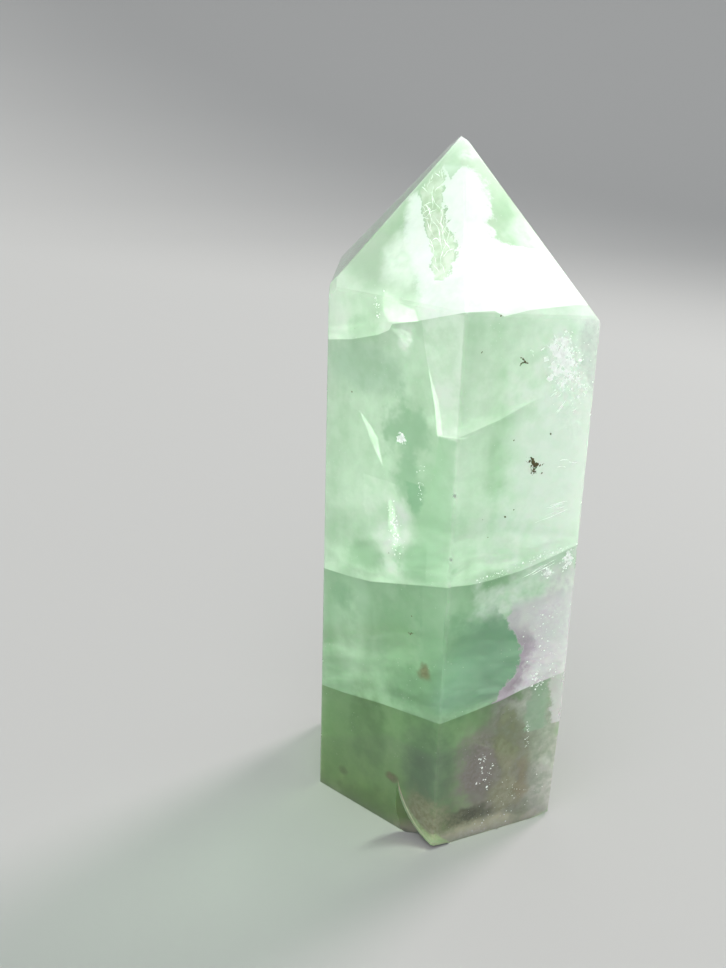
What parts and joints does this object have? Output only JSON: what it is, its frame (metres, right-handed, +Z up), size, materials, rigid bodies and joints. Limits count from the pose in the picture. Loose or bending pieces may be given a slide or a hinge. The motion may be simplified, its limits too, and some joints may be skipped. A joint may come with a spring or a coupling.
{
  "type": "fluorite tower",
  "caption": "Free-standing polished tower of clear green fluorite, a hexagonal prism with a hand-cut point, standing on its flat base",
  "frame": {"origin": "middle of the box round the flat base, on the surface it stands on", "axes": "+Z up along the prism to the point, -Y out of the front edge between the two front faces, +X towards the right face"},
  "size_m": [0.0329, 0.034, 0.0848],
  "materials": {
    "fluorite": "polished clear to milky green stone, with cleavage veils inside"
  },
  "bodies": {
    "root": {"fluorite_tower": "fluorite"}
  },
  "joints": []
}
